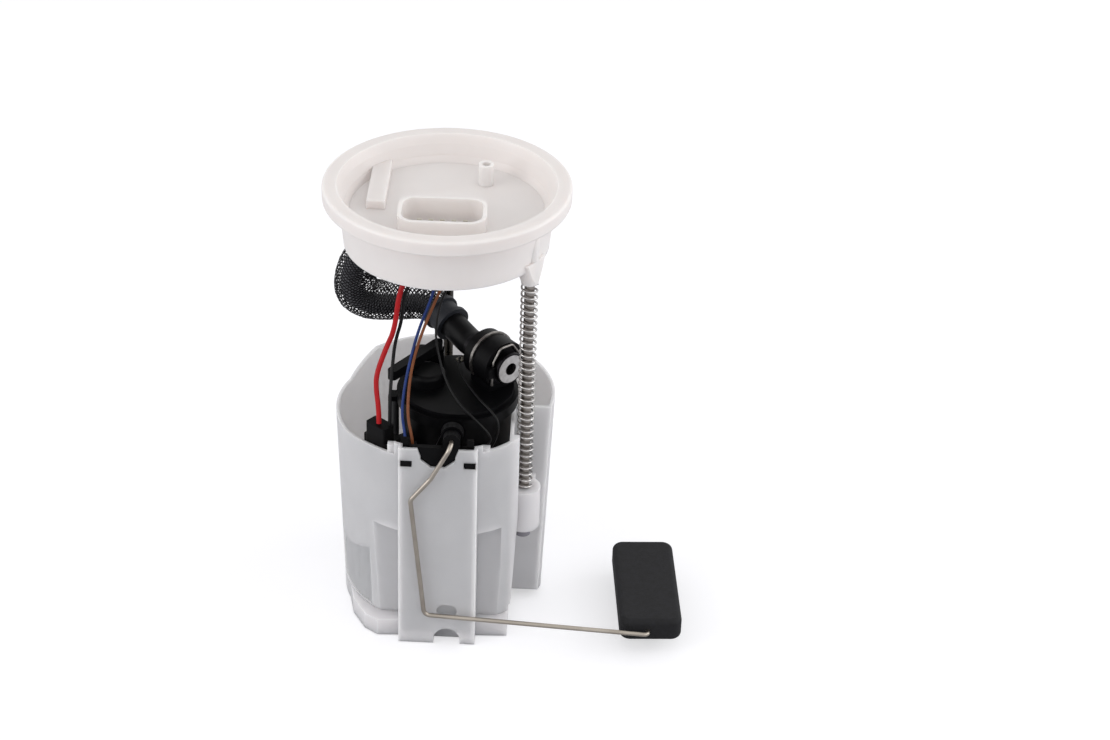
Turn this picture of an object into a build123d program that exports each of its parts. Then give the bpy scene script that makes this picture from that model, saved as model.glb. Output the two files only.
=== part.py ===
"""Fuel pump module: a reservoir pot with the pump and filter inside, and a dished lid on two guide rods.

Millimetres. +Z is up, the pot stands on z = 0 and its axis is X = Y = 0. The level sender faces -Y.
"""

import os
from math import atan2, degrees, pi, radians, sqrt, tan

from build123d import *

os.makedirs("parts", exist_ok=True)

# ---------------------------------------------------------------- reservoir pot sizes
pot_height = 127.0
pot_rim_radius = 60.0
pot_base_radius = 55.5
pot_wall = 2.0
pot_floor_under = 5.0
pot_floor_thickness = 2.0
foot_pad_radius = 9.0
foot_rib_width = 2.4
base_block_height = 10.0
panel_width = 42.0
panel_front = 60.3
notch_width = 18.5
notch_depth = 11.5
window_width = 6.6
window_height = 4.2
window_offset = 17.0
window_drop = 9.5
hook_offset = 25.0
hook_width = 4.5
hook_drop = 2.5
hook_foot = 9.0
arch_centre = 5.5
arch_width = 14.5
arch_height = 10.0
hood_length = 11.5
hood_height = 8.0
hood_z = 22.0
recess_depth = 0.9
locating_ring_height = 5.0
channel_side = 39.2
channel_back = -13.5
channel_mouth = 42.4
slot_bottom = 10.0
slot_top = 70.0
slot_floor_y = -45.5
slot_outer_left = 36.0
slot_outer_right = 34.0
rim_dip_left = [(46.0, 128.5), (33.0, 121.5), (24.0, 117.0), (-28.0, 117.0), (-45.0, 119.5), (-70.0, 120.5)]
rim_dip_right = [(-20.0, 128.5), (-36.0, 126.0), (-50.0, 123.5), (-70.0, 123.0)]
rim_dip_start = 23.5
corner_cut_x = 38.3

# ---------------------------------------------------------------- guide rod and spring sizes
rod_radius = 2.7
rod_running_gap = 0.15
front_rod = (45.0, -26.0)
back_rod = (-1.5, 49.0)
front_guide_radius = 9.0
front_guide_bottom = 59.0
front_guide_top = 84.0
back_guide_radius = 5.5
back_guide_bottom = 58.0
back_guide_top = 92.0
rod_cap_radius = 4.2
rod_cap_height = 6.0
spring_wire_radius = 0.55
spring_outer_radius = 4.75
spring_turns = 32

# ---------------------------------------------------------------- lid sizes
lid_top = 254.0
lid_rim_radius = 65.3
lid_rim_height = 8.5
lid_opening_radius = 57.7
lid_neck_radius = 56.5
lid_skirt_radius = 54.3
lid_skirt_bottom = 220.4
lid_wall = 2.4
dish_depth = 14.5
lid_floor_thickness = 2.5
rib_angles = (15, 105, 195, 285)
rib_drop = 9.0
socket_length = 46.0
socket_width = 29.0
socket_corner = 9.0
socket_centre = (-1.2, -18.5)
socket_wall = 2.0
socket_rise = 8.5
socket_depth = 17.0
pin_pitch = 6.0
pin_count = 5
pin_width = 2.4
pin_thickness = 0.8
pin_rise = 11.0
pin_drop = 3.5
rod_socket_radius = 4.6
rod_socket_bottom = 211.0
socket_flare_radius = 9.0
socket_flare_height = 13.0
fuel_nipple = (19.0, 28.0)
fuel_nipple_radius = 3.95
fuel_nipple_height = 12.0
hose_spigot = (-33.0, 15.5)
hose_spigot_bottom = 218.0
passage_radius = 4.2
passage_z = 232.5

# ---------------------------------------------------------------- filter housing and pump sizes
housing_centre = (7.3, -9.0)
housing_radius = 29.5
housing_wall = 2.0
housing_top = 131.0
housing_deck = 16.0
flange_radius = 33.0
flange_height = 3.0
cover_step = 2.5
pump_radius = 17.5
pump_tube_wall = 1.3
pump_bottom = 24.0
pump_length = 84.0
pump_cap_height = 8.0
pump_nipple_radius = 3.9
isolator_thickness = 1.4
strainer_radius = 21.0
jet_feed = (-26.5, -12.0)
jet_hose_top = 127.8
nipple_radius = 1.3
plug_bottom = 108.0
plug_step = 12.0
plug_height = 21.0
plug_turn = -40.0
plug_foot_centre = (-31.3, -37.2)
plug_head_centre = (-32.3, -39.1)
ground_angle = -60.4
ground_bottom = 103.0
ground_height = 9.0
loose_gap = 0.3
seat_gap = 0.1

# ---------------------------------------------------------------- regulator, duct and hose sizes
regulator_face = Vector(36.0, -14.0, 150.5)
duct_direction = Vector(0.66, -0.75, 0.0).normalized()
holder_radius = 13.4
holder_front = 5.0
holder_back = 24.0
holder_pocket = 16.0
regulator_radius = 10.8
regulator_nose_radius = 8.0
regulator_hole_radius = 3.5
regulator_ring_radius = 9.3
regulator_ring_height = 1.7
duct_outer_radius = 7.5
duct_inner_radius = 5.5
duct_end = Vector(-2.0, 30.0, 155.5)
collar_flange_radius = 10.4
hose_radius = 5.5
hose_bore_radius = 4.0
sleeve_outer_radius = 9.6
sleeve_inner_radius = 8.6

# ---------------------------------------------------------------- level sender, arm and float sizes
sender_pivot = (7.0, 131.0)
arm_plane = -63.5
arm_wire_radius = 1.25
arm_bend_radius = 4.0
arm_end_bend = 2.2
pivot_gap = 0.1
bracket_width = 37.0
bracket_bottom = 92.0
bracket_thickness = 3.0
float_width = 34.0
float_length = 77.0
float_thickness = 13.5
float_pivot = (116.0, 14.5)
float_gap = 3.2
float_offset = 1.8
float_yaw = 4.0
float_hole_depth = 24.0

# ---------------------------------------------------------------- worked-out sizes
draft = (pot_rim_radius - pot_base_radius) / pot_height
pot_floor_top = pot_floor_under + pot_floor_thickness
lid_floor_top = lid_top - dish_depth
lid_floor_under = lid_floor_top - lid_floor_thickness
lid_rim_under = lid_top - lid_rim_height
cover_top = housing_top + flange_height + cover_step
socket_top = lid_floor_top + socket_rise
socket_floor = socket_top - socket_depth
window_z = pot_height - window_drop


def pot_radius(z):
    """Outside radius of the drafted pot at a height."""
    return pot_base_radius + draft * z


def bend_radii(points):
    """The largest arc at each corner of a route, each using 0.45 of a run, or 0.9 of the first one."""
    radii = []
    share = 0.9
    for before, corner, after in zip(points, points[1:], points[2:]):
        first = Vector(corner) - Vector(before)
        second = Vector(after) - Vector(corner)
        turn = radians(first.get_angle(second))
        radii.append(min(share * first.length, 0.45 * second.length) / tan(turn / 2))
        share = 0.45
    return radii


def save(piece, name):
    piece.part.label = name
    export_step(piece.part, f"parts/{name}.step")


def block(plane, centre, size, amount, mode=Mode.ADD):
    """A rectangular prism from a plane, centred at a point of it."""
    with BuildSketch(plane) as outline:
        with Locations(centre):
            Rectangle(*size)
    extrude(outline.sketch, amount=amount, mode=mode)


def disc(plane, centre, radius, amount, mode=Mode.ADD):
    """A round prism from a plane, centred at a point of it."""
    with BuildSketch(plane) as outline:
        with Locations(centre):
            Circle(radius)
    extrude(outline.sketch, amount=amount, mode=mode)


def tube(points, outer, inner=0, radii=None):
    """A round rod, or a tube with a bore, that follows a route with the largest arcs it allows."""
    with BuildPart() as piece:
        with BuildLine() as route:
            FilletPolyline(*points, radius=radii or bend_radii(points))
        with BuildSketch(route.line ^ 0):
            Circle(outer)
            if inner:
                Circle(inner, mode=Mode.SUBTRACT)
        sweep()
    return piece


# ---------------------------------------------------------------- reservoir pot
# The wall steps inwards round the rod channel, the two slots beside the front panel and the cut-back
# corner of the base. The inside of the pot steps in by one wall more.
slot_spans = ((-slot_outer_left, -panel_width / 2), (panel_width / 2, slot_outer_right))
corner_cut_profile = [(-70.0, -1.0), (-70.0, 17.0), (-41.0, 14.0), (-3.0, 1.5), (-3.0, -1.0)]
far_out = 80.0

with BuildPart() as inside_steps:
    block(
        Plane.XY,
        ((channel_side - pot_wall + far_out) / 2, (channel_back + pot_wall - far_out) / 2),
        (far_out - channel_side + pot_wall, far_out + channel_back + pot_wall),
        pot_height + 2,
    )
    for start, end in slot_spans:
        block(
            Plane.XY.offset(slot_bottom - pot_wall),
            ((start + end) / 2, (slot_floor_y + pot_wall - far_out) / 2),
            (end - start + 2 * pot_wall, far_out + slot_floor_y + pot_wall),
            slot_top - slot_bottom + 2 * pot_wall,
        )
    with BuildSketch(Plane.YZ.offset(corner_cut_x - pot_wall)):
        with BuildLine():
            Polyline([(y + pot_wall, z + pot_wall) for y, z in corner_cut_profile], close=True)
        make_face()
    extrude(amount=40)

with BuildPart() as pot_inside:
    with Locations((0, 0, pot_floor_top)):
        Cone(
            pot_radius(pot_floor_top) - pot_wall,
            pot_radius(pot_height + 1) - pot_wall,
            pot_height + 1 - pot_floor_top,
            align=(Align.CENTER, Align.CENTER, Align.MIN),
        )
    block(
        Plane.XY.offset(pot_floor_top),
        (0, pot_wall - panel_front / 2),
        (panel_width - 2 * pot_wall, panel_front),
        pot_height + 1 - pot_floor_top,
    )
    add(inside_steps.part, mode=Mode.SUBTRACT)

with BuildPart() as left_recess:
    with BuildSketch(Plane.XZ.offset(8)):
        with BuildLine():
            Polyline([(-70, 11), (-70, 42), (-50, 43), (-38, 50), (-37, 11)], close=True)
        make_face()
    extrude(amount=60)
    Cone(
        pot_base_radius - recess_depth,
        pot_rim_radius - recess_depth,
        pot_height,
        align=(Align.CENTER, Align.CENTER, Align.MIN),
        mode=Mode.SUBTRACT,
    )

lip_inside_y = -sqrt((pot_rim_radius - pot_wall) ** 2 - channel_mouth**2)
valve_centre = (-34.0, 8.0)
valve_stem_radius = 1.5
valve_hole_ring = 6.0
valve_hole_radius = 2.2

with BuildPart() as reservoir_pot:
    Cone(pot_base_radius, pot_rim_radius, pot_height, align=(Align.CENTER, Align.CENTER, Align.MIN))
    # flat front panel, standing proud of the drafted wall
    block(Plane.XY, (0, -panel_front / 2), (panel_width, panel_front), pot_height)
    # base block under the front
    with BuildSketch():
        with BuildLine():
            Polyline(
                [(-51, -22), (-48, -36), (-40.5, -49.5), (-33, -55)]
                + [(corner_cut_x, -51), (corner_cut_x, -20)],
                close=True,
            )
        make_face()
    extrude(amount=base_block_height)
    # rod channel, open to the outside, with the lip of the front wall left standing
    block(
        Plane.XY,
        ((channel_mouth + far_out) / 2, (channel_back - far_out) / 2),
        (far_out - channel_mouth, far_out + channel_back),
        pot_height,
        mode=Mode.SUBTRACT,
    )
    block(
        Plane.XY,
        ((channel_side + channel_mouth) / 2, (channel_back + lip_inside_y) / 2),
        (channel_mouth - channel_side, channel_back - lip_inside_y),
        pot_height,
        mode=Mode.SUBTRACT,
    )
    # slots beside the front panel
    for start, end in slot_spans:
        block(
            Plane.XY.offset(slot_bottom),
            ((start + end) / 2, (slot_floor_y - far_out) / 2),
            (end - start, far_out + slot_floor_y),
            slot_top - slot_bottom,
            mode=Mode.SUBTRACT,
        )
    # cut-back corner of the base below the channel
    with BuildSketch(Plane.YZ.offset(corner_cut_x)):
        with BuildLine():
            Polyline(corner_cut_profile, close=True)
        make_face()
    extrude(amount=40, mode=Mode.SUBTRACT)
    add(pot_inside.part, mode=Mode.SUBTRACT)
    add(left_recess.part, mode=Mode.SUBTRACT)
    # the rim dips on both sides of the front panel
    for plane, dip in (
        (Plane.YZ.offset(-far_out), rim_dip_left),
        (Plane.YZ.offset(rim_dip_start), rim_dip_right),
    ):
        with BuildSketch(plane):
            with BuildLine():
                Polyline([*dip, (dip[-1][0], pot_height + 5), (dip[0][0], pot_height + 5)], close=True)
            make_face()
        extrude(amount=far_out - rim_dip_start, mode=Mode.SUBTRACT)
    # hollow under the floor, with a round foot pad and ribs out to the skirt
    disc(Plane.XY, (0, 0), pot_base_radius - pot_wall, pot_floor_under, mode=Mode.SUBTRACT)
    with BuildSketch():
        Circle(foot_pad_radius)
        for angle in (0, 60, 120):
            Rectangle(2 * pot_base_radius - pot_wall, foot_rib_width, rotation=angle)
        with Locations((corner_cut_x - pot_wall + 20, -35)):
            Rectangle(40, 70, mode=Mode.SUBTRACT)
    extrude(amount=pot_floor_under)
    # notch for the sender, and windows for its snap tabs
    with BuildSketch(Plane.XZ.offset(panel_front - 3 * pot_wall)):
        with BuildLine():
            Polyline(
                [
                    (-notch_width / 2 - 2, pot_height + 1),
                    (-notch_width / 2, pot_height - 5),
                    (-notch_width / 2, pot_height - notch_depth * 0.6),
                    (-notch_width / 5, pot_height - notch_depth),
                    (notch_width / 5, pot_height - notch_depth),
                    (notch_width / 2, pot_height - notch_depth * 0.6),
                    (notch_width / 2, pot_height - 5),
                    (notch_width / 2 + 2, pot_height + 1),
                ],
                close=True,
            )
        make_face()
        with Locations((-window_offset, window_z), (window_offset, window_z)):
            Rectangle(window_width, window_height)
    extrude(amount=10, mode=Mode.SUBTRACT)
    # snap hooks that stand above the dips of the rim
    hook_y = -sqrt((pot_rim_radius - 1.5 * pot_wall) ** 2 - hook_offset**2)
    for side in (-1, 1):
        block(
            Plane.XY.offset(pot_height - hook_foot),
            (side * hook_offset, hook_y),
            (hook_width, 2 * pot_wall),
            hook_foot - hook_drop,
        )
    # arch in the bottom edge of the panel, and the hooded recess above it
    with BuildSketch(Plane.XZ.offset(panel_front - 3 * pot_wall)):
        with Locations((arch_centre, 0)):
            SlotOverall(2 * arch_height, arch_width, rotation=90)
    extrude(amount=10, mode=Mode.SUBTRACT)
    with BuildSketch(Plane.XZ.offset(panel_front - pot_wall / 2)):
        with Locations((arch_centre, hood_z)):
            SlotOverall(hood_length, hood_height)
    extrude(amount=5, mode=Mode.SUBTRACT)
    # guide column for the front rod, in the corner of the channel
    with BuildSketch(Plane.XY.offset(front_guide_bottom)):
        with Locations(front_rod):
            Circle(front_guide_radius)
        with Locations(((channel_side + front_rod[0] + 6) / 2, (front_rod[1] + channel_back) / 2)):
            Rectangle(front_rod[0] + 6 - channel_side, channel_back - front_rod[1])
    extrude(amount=front_guide_top - front_guide_bottom)
    # guide for the back rod, on a web from the back wall
    back_wall_y = pot_radius(back_guide_bottom) - 0.35
    with BuildSketch(Plane.XY.offset(back_guide_bottom)):
        with Locations(back_rod):
            Circle(back_guide_radius)
        with Locations((back_rod[0], (back_rod[1] + back_wall_y) / 2)):
            Rectangle(back_guide_radius, back_wall_y - back_rod[1])
    extrude(amount=back_guide_top - back_guide_bottom)
    for rod, low, high in (
        (front_rod, front_guide_bottom, front_guide_top),
        (back_rod, back_guide_bottom, back_guide_top),
    ):
        disc(
            Plane.XY.offset(low - 1),
            rod,
            rod_radius + rod_running_gap,
            high - low + 2,
            mode=Mode.SUBTRACT,
        )
    # locating ring for the filter housing
    with BuildSketch(Plane.XY.offset(pot_floor_top)):
        with Locations(housing_centre):
            Circle(housing_radius + loose_gap + pot_wall)
            Circle(housing_radius + loose_gap, mode=Mode.SUBTRACT)
            with Locations((-housing_radius, 0)):
                Rectangle(16, 24, mode=Mode.SUBTRACT)
        with Locations((channel_side, -30)):
            Rectangle(2 * (channel_side - housing_centre[0] - 22), 70, mode=Mode.SUBTRACT)
    extrude(amount=locating_ring_height)
    # inlet holes and stem hole of the inlet valve
    with BuildSketch():
        with Locations(valve_centre):
            Circle(valve_stem_radius + seat_gap)
            with PolarLocations(valve_hole_ring, 6):
                Circle(valve_hole_radius)
    extrude(amount=pot_floor_top, mode=Mode.SUBTRACT)
save(reservoir_pot, "reservoir_pot")

# ---------------------------------------------------------------- inlet valve
# Rubber umbrella that lies over the inlet holes in the pot floor and is held by its stem.
valve_plane = Plane((valve_centre[0], valve_centre[1], 0))
with BuildPart() as inlet_valve:
    disc(valve_plane.offset(pot_floor_top), (0, 0), valve_hole_ring + valve_hole_radius + 1.3, 1.2)
    disc(valve_plane.offset(pot_floor_under - 2.5), (0, 0), valve_stem_radius, pot_floor_thickness + 3.0)
    disc(valve_plane.offset(pot_floor_under - 2.5), (0, 0), valve_stem_radius + 0.8, 2.4)
save(inlet_valve, "inlet_valve")

# ---------------------------------------------------------------- filter housing
# Turned round the pump axis: an outer wall that stands on the pot floor, a deck, and a tube for the pump.
pump_centre = (housing_centre[0], housing_centre[1], 0)
pump_axis = Plane(pump_centre)
pump_profile = Plane(origin=pump_centre, x_dir=(1, 0, 0), z_dir=(0, -1, 0))
tube_bore = pump_radius + isolator_thickness
tube_outer = tube_bore + pump_tube_wall
tube_top = housing_top - 16.0
housing_bore = housing_radius - housing_wall
deck_top = housing_deck + 2.0
inlet_bore = tube_bore - 4.0


def turned(points):
    """A solid turned about the pump axis from a closed outline of (radius, height) points."""
    with BuildSketch(pump_profile) as outline:
        with BuildLine():
            Polyline(points, close=True)
        make_face()
    revolve(outline.sketch, axis=Axis(pump_centre, (0, 0, 1)))


with BuildPart() as filter_housing:
    turned(
        [
            (housing_bore, pot_floor_top),
            (housing_radius, pot_floor_top),
            (housing_radius, housing_top - flange_height),
            (flange_radius, housing_top - flange_height),
            (flange_radius, housing_top),
            (housing_bore, housing_top),
            (housing_bore, deck_top),
            (tube_outer, deck_top),
            (tube_outer, tube_top),
            (tube_bore, tube_top),
            (tube_bore, deck_top),
            (inlet_bore, deck_top),
            (inlet_bore, housing_deck),
            (housing_bore, housing_deck),
        ]
    )
    # shelf for the pump plug, pad for the ground connector, and tab with the jet hose nipple
    with BuildSketch(Plane.XY.offset(plug_bottom - 4)):
        with BuildLine():
            Polyline([(-41, -36), (-29, -46.5), (-20, -40), (0, -36), (-20, -14), (-36, -27)], close=True)
        make_face()
        with Locations(housing_centre):
            Circle(housing_bore + 1, mode=Mode.SUBTRACT)
    extrude(amount=4)
    with BuildSketch(pump_axis.rotated((0, 0, ground_angle)).offset(ground_bottom)):
        with Locations((housing_radius - 0.5, 0)):
            Rectangle(2.6, 9)
    extrude(amount=ground_height)
    block(Plane.XY.offset(housing_top - flange_height), (-25.5, jet_feed[1]), (9, 7), flange_height)
    disc(Plane.XY.offset(jet_hose_top - 8), jet_feed, nipple_radius, 10)
    # fuel windows at the foot of the wall
    for angle in (-8, 82, 172, 262):
        with BuildSketch(pump_axis.rotated((0, 0, angle)).offset(pot_floor_top)):
            with Locations((housing_radius - housing_wall / 2, 0)):
                Rectangle(3 * housing_wall, 12)
        extrude(amount=6, mode=Mode.SUBTRACT)
save(filter_housing, "filter_housing")

# ---------------------------------------------------------------- filter element
# Star-folded paper ring that stands on the deck round the pump tube, between two end rings.
pleat_count = 40
pleat_inner = tube_outer + 0.4
pleat_outer = housing_bore - 0.4
pleat_half = 0.35
element_bottom = deck_top
element_top = tube_top - 4.0
end_ring = 2.0

with BuildPart() as filter_element:
    for z in (element_bottom, element_top - end_ring):
        with BuildSketch(pump_axis.offset(z)):
            Circle(pleat_outer)
            Circle(pleat_inner, mode=Mode.SUBTRACT)
        extrude(amount=end_ring)
    with BuildSketch(pump_axis.offset(element_bottom + end_ring)):
        with PolarLocations((pleat_inner + pleat_outer) / 2, pleat_count):
            Rectangle(pleat_outer - pleat_inner - 0.2, 2 * pleat_half)
        with BuildSketch(mode=Mode.ADD):
            Circle(pleat_inner + 0.6)
            Circle(pleat_inner, mode=Mode.SUBTRACT)
    extrude(amount=element_top - element_bottom - 2 * end_ring)
save(filter_element, "filter_element")

# ---------------------------------------------------------------- filter cover
# Welded into the housing. It carries the hood over the pump terminals, the tower of the check valve and
# the post of the wire guide, and takes the pump's outlet in a blind boss underneath.
hood_centre = (-9.5, -7.0)
hood_radius = 10.0
hood_top = 144.0
tower_centre = (-14.0, 19.0)
tower_radius = 6.5
tower_top = 137.5
post_centre = (-5.0, 12.5)
guide_arm_bottom = 145.0
cover_outer = housing_radius + 1.0
plug_radius = housing_bore - seat_gap
cover_under = cover_top - 2.5
outlet_boss_bottom = housing_top - 9.0
guide_peg_radius = 1.5
guide_arm_height = 5.5
port_radius = 2.5
port_back = 19.0
port_point = regulator_face - duct_direction * port_back
holder_port = (port_point.X, port_point.Y)

with BuildPart() as filter_cover:
    turned(
        [
            (0, cover_top),
            (cover_outer, cover_top),
            (cover_outer, housing_top + flange_height),
            (flange_radius, housing_top + flange_height),
            (flange_radius, housing_top),
            (plug_radius, housing_top),
            (plug_radius, housing_top - 4),
            (plug_radius - housing_wall, housing_top - 4),
            (plug_radius - housing_wall, cover_under),
            (pump_nipple_radius + seat_gap + housing_wall, cover_under),
            (pump_nipple_radius + seat_gap + housing_wall, outlet_boss_bottom),
            (pump_nipple_radius + seat_gap, outlet_boss_bottom),
            (pump_nipple_radius + seat_gap, cover_under),
            (0, cover_under),
        ]
    )
    disc(Plane.XY.offset(cover_top), hood_centre, hood_radius, hood_top - cover_top)
    fillet(filter_cover.faces().sort_by(Axis.Z)[-1].edges(), 2.5)
    disc(Plane.XY.offset(housing_top), tower_centre, tower_radius, tower_top - housing_top)
    block(Plane.XY.offset(cover_top), post_centre, (7.0, 7.0), guide_arm_bottom - cover_top)
    disc(Plane.XY.offset(guide_arm_bottom), post_centre, guide_peg_radius, guide_arm_height)
    # port up to the regulator holder
    disc(Plane.XY.offset(cover_under - 1), holder_port, port_radius, 6, mode=Mode.SUBTRACT)
save(filter_cover, "filter_cover")

with BuildPart() as check_valve_cap:
    disc(Plane.XY.offset(tower_top), tower_centre, tower_radius - 0.5, 4.5)
    fillet(check_valve_cap.faces().sort_by(Axis.Z)[-1].edges(), 3.5)
save(check_valve_cap, "check_valve_cap")

# ---------------------------------------------------------------- pump
# Steel can with a moulded cap at each end, held in the tube by two rubber rings.
pump_top = pump_bottom + pump_length
with BuildPart() as pump_can:
    disc(pump_axis.offset(pump_bottom), (0, 0), pump_radius, pump_length)
    chamfer(pump_can.edges().filter_by(GeomType.CIRCLE), 0.8)
save(pump_can, "pump_can")

with BuildPart() as pump_outlet_cap:
    disc(pump_axis.offset(pump_top), (0, 0), pump_radius - 0.8, pump_cap_height)
    fillet(pump_outlet_cap.faces().sort_by(Axis.Z)[-1].edges(), 2)
    disc(pump_axis.offset(pump_top), (0, 0), pump_nipple_radius, cover_under - loose_gap - pump_top)
    disc(pump_axis.offset(pump_top), (0, 0), pump_nipple_radius - 1.5, 40, mode=Mode.SUBTRACT)
save(pump_outlet_cap, "pump_outlet_cap")

inlet_nipple_radius = 5.0
pump_foot = deck_top + isolator_thickness
with BuildPart() as pump_inlet_cap:
    disc(pump_axis.offset(pump_foot), (0, 0), pump_radius - 0.8, pump_bottom - pump_foot)
    disc(pump_axis.offset(housing_deck - 4), (0, 0), inlet_nipple_radius, pump_foot - housing_deck + 4)
    disc(pump_axis.offset(housing_deck - 5), (0, 0), inlet_nipple_radius - 1.5, 10, mode=Mode.SUBTRACT)
save(pump_inlet_cap, "pump_inlet_cap")

with BuildPart() as pump_isolators:
    turned(
        [
            (inlet_bore + 0.5, deck_top),
            (tube_bore - seat_gap / 2, deck_top),
            (tube_bore - seat_gap / 2, deck_top + 12),
            (pump_radius + seat_gap / 2, deck_top + 12),
            (pump_radius + seat_gap / 2, pump_foot),
            (inlet_bore + 0.5, pump_foot),
        ]
    )
    with BuildSketch(pump_axis.offset(pump_top - 12)):
        Circle(tube_bore - seat_gap / 2)
        Circle(pump_radius + seat_gap / 2, mode=Mode.SUBTRACT)
    extrude(amount=10)
save(pump_isolators, "pump_isolators")

# ---------------------------------------------------------------- suction strainer
strainer_bottom = pot_floor_top + loose_gap
with BuildPart() as suction_strainer:
    disc(pump_axis.offset(strainer_bottom), (0, 0), strainer_radius, 4.0)
    fillet(suction_strainer.edges().filter_by(GeomType.CIRCLE), 1.5)
    neck_height = housing_deck - strainer_bottom - 3.5
    disc(pump_axis.offset(strainer_bottom + 3), (0, 0), inlet_nipple_radius + 2, neck_height)
    disc(pump_axis.offset(housing_deck - 4), (0, 0), inlet_nipple_radius + seat_gap, 10, mode=Mode.SUBTRACT)
save(suction_strainer, "suction_strainer")

# ---------------------------------------------------------------- jet pump
# Moulded block on the pot floor that drives fuel through the inlet valve. A thin hose feeds it from a
# nipple under the flange of the filter housing.
jet_centre = (-29.0, -12.0)
jet_block_height = 8.0
jet_nipple_top = pot_floor_top + jet_block_height + 7.0
jet_axis_z = pot_floor_top + 4.5
with BuildPart() as jet_pump:
    block(Plane.XY.offset(pot_floor_top), jet_centre, (10.0, 20.0), jet_block_height)
    fillet(jet_pump.edges().filter_by(Axis.Z), 2)
    disc(Plane.XY.offset(pot_floor_top), jet_feed, nipple_radius, jet_nipple_top - pot_floor_top)
    disc(Plane.XZ.offset(2.5), (jet_centre[0], jet_axis_z), 3.2, -5.5)
    disc(Plane.XZ.offset(-4), (jet_centre[0], jet_axis_z), 1.8, 18, mode=Mode.SUBTRACT)
save(jet_pump, "jet_pump")

jet_hose_route = [
    (*jet_feed, pot_floor_top + jet_block_height + 0.2),
    (*jet_feed, 45.0),
    (-28.5, -9.0, 75.0),
    (*jet_feed, 100.0),
    (*jet_feed, jet_hose_top),
]
jet_hose = tube(jet_hose_route, nipple_radius + 0.9, nipple_radius + seat_gap)
save(jet_hose, "jet_hose")

# ---------------------------------------------------------------- regulator holder
# Moulded cup on a saddle that stands on the filter cover. Sizes along its axis run back from the face of
# the regulator.
holder_across = (-duct_direction.Y, duct_direction.X, 0)
holder_axis = Plane(origin=regulator_face, x_dir=holder_across, z_dir=duct_direction)
saddle_plane = Plane(
    origin=(regulator_face.X, regulator_face.Y, cover_top), x_dir=duct_direction, z_dir=(0, 0, 1)
)
spigot_radius = duct_inner_radius - seat_gap
spigot_end = 33.0
spigot_seal = 29.0
duct_bend = 22.0
saddle_height = 6.0
pocket_radius = regulator_radius + 0.2
pocket_end = holder_front + holder_pocket
clip_offset = 4.3
clip_wire = 0.7
band_width = 1.6

with BuildPart() as regulator_holder:
    disc(holder_axis.offset(-holder_back), (0, 0), holder_radius, holder_back - holder_front)
    disc(holder_axis.offset(-spigot_end), (0, 0), spigot_radius, spigot_end - holder_back + 1)
    block(saddle_plane, (-14.5, 0), (17.0, 18.0), saddle_height)
    for side in (-1, 1):
        block(holder_axis.offset(-holder_front), (side * 11.7, 0), (3.0, 6.0), 3.0)
        block(holder_axis.offset(-3.4), (side * 11.0, 0), (4.4, 6.0), 1.4)
    disc(holder_axis.offset(-pocket_end), (0, 0), pocket_radius, holder_pocket, mode=Mode.SUBTRACT)
    disc(holder_axis.offset(-spigot_end - 1), (0, 0), spigot_radius - 1.8, 20, mode=Mode.SUBTRACT)
    disc(saddle_plane.offset(-1), (-port_back, 0), port_radius, 8, mode=Mode.SUBTRACT)
    with BuildSketch(holder_axis.offset(-spigot_seal - 1)):
        Circle(spigot_radius + 1)
        Circle(spigot_radius - 1, mode=Mode.SUBTRACT)
    extrude(amount=2, mode=Mode.SUBTRACT)
save(regulator_holder, "regulator_holder")

# ---------------------------------------------------------------- pressure regulator
# Drawn steel cup with a smaller nose, pushed into the holder and kept there by a wire clip.
with BuildPart() as pressure_regulator:
    disc(holder_axis.offset(-pocket_end + 0.2), (0, 0), regulator_radius, holder_pocket - 0.4)
    disc(holder_axis.offset(-holder_front - 0.5), (0, 0), regulator_nose_radius, holder_front + 0.5)
    disc(holder_axis.offset(-regulator_ring_height), (0, 0), regulator_ring_radius, regulator_ring_height)
    fillet(pressure_regulator.faces().sort_by(Axis(regulator_face, duct_direction))[-1].edges(), 0.8)
    disc(holder_axis.offset(-5), (0, 0), regulator_hole_radius, 6, mode=Mode.SUBTRACT)
    with BuildSketch(holder_axis.offset(-17.1)):
        Circle(regulator_radius + 1)
        Circle(regulator_radius - 1.6, mode=Mode.SUBTRACT)
    extrude(amount=2.2, mode=Mode.SUBTRACT)
save(pressure_regulator, "pressure_regulator")

with BuildPart() as regulator_seals:
    for offset, outer, inner, width in (
        (17.0, pocket_radius - 0.05, regulator_radius - 1.5, 2.0),
        (spigot_seal + 0.9, duct_inner_radius - 0.05, spigot_radius - 0.9, 1.8),
    ):
        with BuildSketch(holder_axis.offset(-offset)):
            Circle(outer)
            Circle(inner, mode=Mode.SUBTRACT)
        extrude(amount=width)
save(regulator_seals, "regulator_seals")

clip_half = regulator_nose_radius + 0.1 + clip_wire
with BuildPart() as regulator_clip:
    with BuildLine(holder_axis.offset(-clip_offset)) as clip_path:
        FilletPolyline(
            (-clip_half - 0.8, -9),
            (-clip_half, 5),
            (-4, 12),
            (4, 12),
            (clip_half, 5),
            (clip_half + 0.8, -9),
            radius=2.5,
        )
    with BuildSketch(clip_path.line ^ 0):
        Circle(clip_wire)
    sweep()
save(regulator_clip, "regulator_clip")

with BuildPart() as retaining_band:
    with BuildSketch(holder_axis.offset(-18)):
        Circle(holder_radius + 1)
        Circle(holder_radius + seat_gap, mode=Mode.SUBTRACT)
        with Locations((0, -holder_radius)):
            Rectangle(2 * holder_radius, 2 * saddle_height + 0.6, mode=Mode.SUBTRACT)
    extrude(amount=band_width)
save(retaining_band, "retaining_band")

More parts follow.
